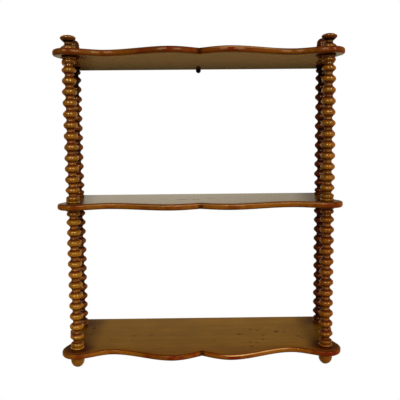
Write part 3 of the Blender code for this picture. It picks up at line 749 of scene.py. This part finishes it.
def add_world():
    """A pale room: white to the camera, a soft fill for matt surfaces, and a room for the varnish to mirror.

    The mirrored room has a beige wall behind, brightest at the height of the middle board, with soft shadows where
    the columns stand. In front it is dim, with one warm strip that is brighter to the right.
    """
    world = bpy.data.worlds.new("pale_room")
    bpy.context.scene.world = world
    world.use_nodes = True
    world.cycles.sampling_method = "NONE"  # the room is even enough to be sampled without a map
    tree = world.node_tree
    tree.nodes.clear()
    x, y, z = put(tree, "SeparateXYZ", (put(tree, "TexCoord").outputs["Generated"],)).outputs
    aside = put(tree, "Math", (x,), operation="ABSOLUTE").outputs[0]

    # Fill: most from the wall's side, with more from above, from below and from the right
    fill = put(tree, "MapRange", (y, -0.3, 0.8, 0.06, 0.50), **EASED).outputs[0]
    for way, start, end, most in ((z, 0.1, 0.8, 0.50), (z, -0.1, -0.6, 0.60), (x, 0.25, 0.95, 0.80)):
        more = put(tree, "MapRange", (way, start, end, 0, most), **EASED).outputs[0]
        fill = put(tree, "Math", (fill, more), operation="ADD").outputs[0]

    # Wall: its shades by height, from straight down at 0 to straight up at 1
    shades = (
        (0.35, "#2E2416"), (0.412, "#AA9260"), (0.434, "#4C3A1A"), (0.47, "#6A5A38"), (0.50, "#DCD9C8"),
        (0.56, "#DCD9C8"), (0.61, "#B89A6C"), (0.665, "#B08A50"), (0.75, "#3A3632"),
    )
    height = put(tree, "MapRange", (z, -1, 1)).outputs[0]
    wall = put(tree, "ValToRGB", (height,), [(at, linear(code)) for at, code in shades]).outputs[0]

    # Outside the columns it is paler low down and olive high up, and further aside it glows warm
    outside = put(tree, "MapRange", (aside, 0.215, 0.232)).outputs[0]
    low = put(tree, "MapRange", (z, -0.05, -0.10)).outputs[0]
    low_outside = put(tree, "Math", (outside, low), operation="MULTIPLY").outputs[0]
    high = put(tree, "MapRange", (z, 0.18, 0.26)).outputs[0]
    high_outside = put(tree, "Math", (outside, high), operation="MULTIPLY").outputs[0]
    far_aside = put(tree, "MapRange", (aside, 0.28, 0.42)).outputs[0]

    # Shadows of the columns: stronger on the left low down, and alike on both sides high up
    bars = ((0.168, BLACK), (0.197, WHITE), (0.214, WHITE), (0.228, BLACK))
    shadow = put(tree, "ValToRGB", (aside,), bars).outputs[0]
    down = put(tree, "MapRange", (z, 0.0, -0.08)).outputs[0]
    leftward = put(tree, "MapRange", (x, 0.1, -0.1, 0.1, 0.8)).outputs[0]
    up = put(tree, "MapRange", (z, 0.20, 0.27, 0, 0.85)).outputs[0]
    strength = put(tree, "Math", (down, leftward, up), operation="MULTIPLY_ADD").outputs[0]
    shadow = put(tree, "Math", (shadow, strength), operation="MULTIPLY").outputs[0]

    # At the heights that the middle board mirrors, dimmer to the right and towards the columns
    dimmed = put(tree, "MapRange", (x, 0.0, 0.15, 0, 0.26)).outputs[0]
    ends = put(tree, "MapRange", (aside, 0.176, 0.207, 0, 0.42)).outputs[0]
    dimmed = put(tree, "Math", (dimmed, ends), operation="ADD", use_clamp=True).outputs[0]
    for span in ((0.20, 0.14), (0.0, 0.05)):
        level = put(tree, "MapRange", (z, *span)).outputs[0]
        dimmed = put(tree, "Math", (dimmed, level), operation="MULTIPLY").outputs[0]

    layers = (
        (low_outside, linear("#CAC09A")),
        (high_outside, linear("#7A6834")),
        (far_aside, linear("#DE9A62")),
        (shadow, linear("#2E2010")),
        (dimmed, BLACK),
    )
    for share, colour in layers:
        wall = put(tree, "Mix", {0: share, MIX_A: wall, MIX_B: colour}, data_type="RGBA").outputs[MIX_OUT]

    # Room in front: dim, with a warm strip above the level
    lower = put(tree, "MapRange", (z, 0.12, 0.22), **EASED).outputs[0]
    upper = put(tree, "MapRange", (z, 0.40, 0.28), **EASED).outputs[0]
    strip = put(tree, "Math", (lower, upper), operation="MULTIPLY").outputs[0]
    glow = put(tree, "MapRange", (x, -0.5, 0.5, 0.05, 0.22), **EASED).outputs[0]
    glow = put(tree, "Math", (strip, glow, 0.012), operation="MULTIPLY_ADD").outputs[0]
    front = put(tree, "VectorMath", {0: linear("#FFE0B0")[:3], "Scale": glow}, operation="SCALE").outputs[0]

    # What each kind of ray sees
    behind = put(tree, "MapRange", (y, -0.1, 0.5), **EASED).outputs[0]
    mirrored = put(tree, "Mix", {0: behind, MIX_A: front, MIX_B: wall}, data_type="RGBA").outputs[MIX_OUT]
    rays = put(tree, "LightPath").outputs
    views = {0: rays["Is Glossy Ray"], MIX_A: fill, MIX_B: mirrored}
    seen = put(tree, "Mix", views, data_type="RGBA").outputs[MIX_OUT]
    room = put(tree, "Background", (seen, 1.0)).outputs[0]
    backdrop = put(tree, "Background", (WHITE, 1.0)).outputs[0]
    put(tree, "OutputWorld", (put(tree, "MixShader", (rays["Is Camera Ray"], room, backdrop)).outputs[0],))


def add_floor():
    """A disc of pale paint far below the hung shelf, seen white towards its rim and keeping the shelf's shadow."""
    angle = np.linspace(0, math.tau, FLOOR_STEPS, endpoint=False)
    level = np.full(FLOOR_STEPS, FLOOR_HEIGHT)
    rim = np.column_stack([FLOOR_RADIUS * np.cos(angle), FLOOR_RADIUS * np.sin(angle), level])
    mesh = bpy.data.meshes.new("floor")
    mesh.from_pydata(rim.tolist(), [], [list(range(FLOOR_STEPS))])
    floor = bpy.data.objects.new("floor", mesh)
    bpy.context.scene.collection.objects.link(floor)
    material = bpy.data.materials.new("pale_floor_paint")
    material.use_nodes = True
    tree = material.node_tree
    tree.nodes.clear()
    paint = put(tree, "BsdfDiffuse", (linear("#A8A49C"),)).outputs[0]
    where = put(tree, "TexCoord").outputs["Object"]
    flat = put(tree, "VectorMath", (where, (1, 1, 0)), operation="MULTIPLY").outputs[0]
    out = put(tree, "VectorMath", (flat,), operation="LENGTH").outputs["Value"]
    lift = put(tree, "MapRange", (out, 0.5 * FLOOR_RADIUS, FLOOR_RADIUS, 0.75, 1.0), **EASED).outputs[0]
    seen = put(tree, "LightPath").outputs["Is Camera Ray"]
    glow = put(tree, "Math", (seen, lift), operation="MULTIPLY").outputs[0]
    light = put(tree, "Emission", (WHITE, glow)).outputs[0]
    put(tree, "OutputMaterial", (put(tree, "AddShader", (paint, light)).outputs[0],))
    mesh.materials.append(material)
    floor.visible_glossy = False  # the varnish mirrors the dim room below instead
    floor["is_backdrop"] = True


def add_camera():
    """The camera at the viewing angle of the photograph: turned by its yaw and pitch, and then rolled."""
    lens = bpy.data.cameras.new("camera")
    lens.lens = CAMERA_LENS
    lens.sensor_width = CAMERA_SENSOR
    camera = bpy.data.objects.new("camera", lens)
    aim = Euler((math.radians(90 - CAMERA_PITCH), 0, -math.radians(CAMERA_YAW))).to_matrix()
    camera.rotation_euler = (aim @ Matrix.Rotation(math.radians(CAMERA_ROLL), 3, "Z")).to_euler()
    camera.location = CAMERA_PLACE
    bpy.context.scene.collection.objects.link(camera)
    bpy.context.scene.camera = camera


bpy.context.scene.view_settings.view_transform = "Standard"
add_camera()
add_world()
add_floor()
for lamp in LAMPS:
    add_lamp(*lamp)

# Boards
boxes = {name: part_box(name) for name in BOARDS}
for name, (low, high) in boxes.items():
    piece = board(f"varnished_{name}", low, high)
    if name == "top_shelf":
        plate_low, plate_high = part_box("hanger_plate")
        bar_half = (plate_high.x - plate_low.x) / 2 + RECESS_GAP
        bar_height = BAR_HALF_HEIGHT + RECESS_GAP
        deep = plate_low.y - RECESS_GAP
        recess = box_corners("bar_recess", (-bar_half, deep, -bar_height), (bar_half, RECESS_OVERRUN, bar_height))
        notch_low = (-NOTCH_HALF_WIDTH, deep, low.z - RECESS_OVERRUN)
        notch = box_corners("tongue_notch", notch_low, (NOTCH_HALF_WIDTH, RECESS_OVERRUN, 0.0))
        cut(piece, recess, notch)
    dress(piece, name, board_beech(name, (low.z + high.z) / 2, **BOARD_FINISHES[name]))

# Turned pieces: at each place two columns, a finial and a foot
draw = np.random.default_rng(SPREAD_SEED)
front_finial = front_finial_profile()
back_finial = back_finial_profile()
foot = foot_profile()
# Painted shade in the ring round the front finial's stem foot and under its cap
ring_and_cap_shade = DARKEST_HOLLOW * np.interp(front_finial[:, 1], *FRONT_FINIAL_SHADE)
peg = np.maximum(hollow_depth(*back_finial.T), DARKEST_HOLLOW * BACK_FINIAL_STAIN)
top, middle, bottom = boxes.values()
for place in PLACES:
    low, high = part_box(f"lower_column_{place}")
    axis = ((low.x + high.x) / 2, (low.y + high.y) / 2)
    pieces = []
    for level, over, under in (("upper", top, middle), ("lower", middle, bottom)):
        seat = under[1].z
        profile = column_profile(over[0].z - seat, draw)
        # Painted shade below the board above, darkest at the column's upper end
        stain_and_shade = DARKEST_HOLLOW * np.interp(profile[-1, 1] - profile[:, 1], *UPPER_END_SHADE)
        pieces.append((f"{level}_column_{place}", profile, seat, 1, np.maximum(hollow_depth(*profile.T), stain_and_shade)))
    finial, stain_and_shade = (front_finial, ring_and_cap_shade) if place.startswith("front") else (back_finial, peg)
    pieces.append((f"finial_{place}", finial, top[1].z, 1, stain_and_shade))
    pieces.append((f"foot_{place}", foot, bottom[0].z, -1, hollow_depth(*foot.T)))
    shared = turned_beech(place, axis, *TURNED_FINISHES[place])
    for node, profile, seat, rise, hollow in pieces:
        own = node in TURNED_FINISHES
        finish = turned_beech(node, axis, *TURNED_FINISHES[node]) if own else shared
        dress(turned(f"turned_{node}", profile, axis, seat, rise, hollow), node, finish)

# Hanger plate and screws keep their CAD shapes
steel = blackened_steel()
for name in STEEL_PIECES:
    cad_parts[name].data.materials.clear()
    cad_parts[name].data.materials.append(steel)

low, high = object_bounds()
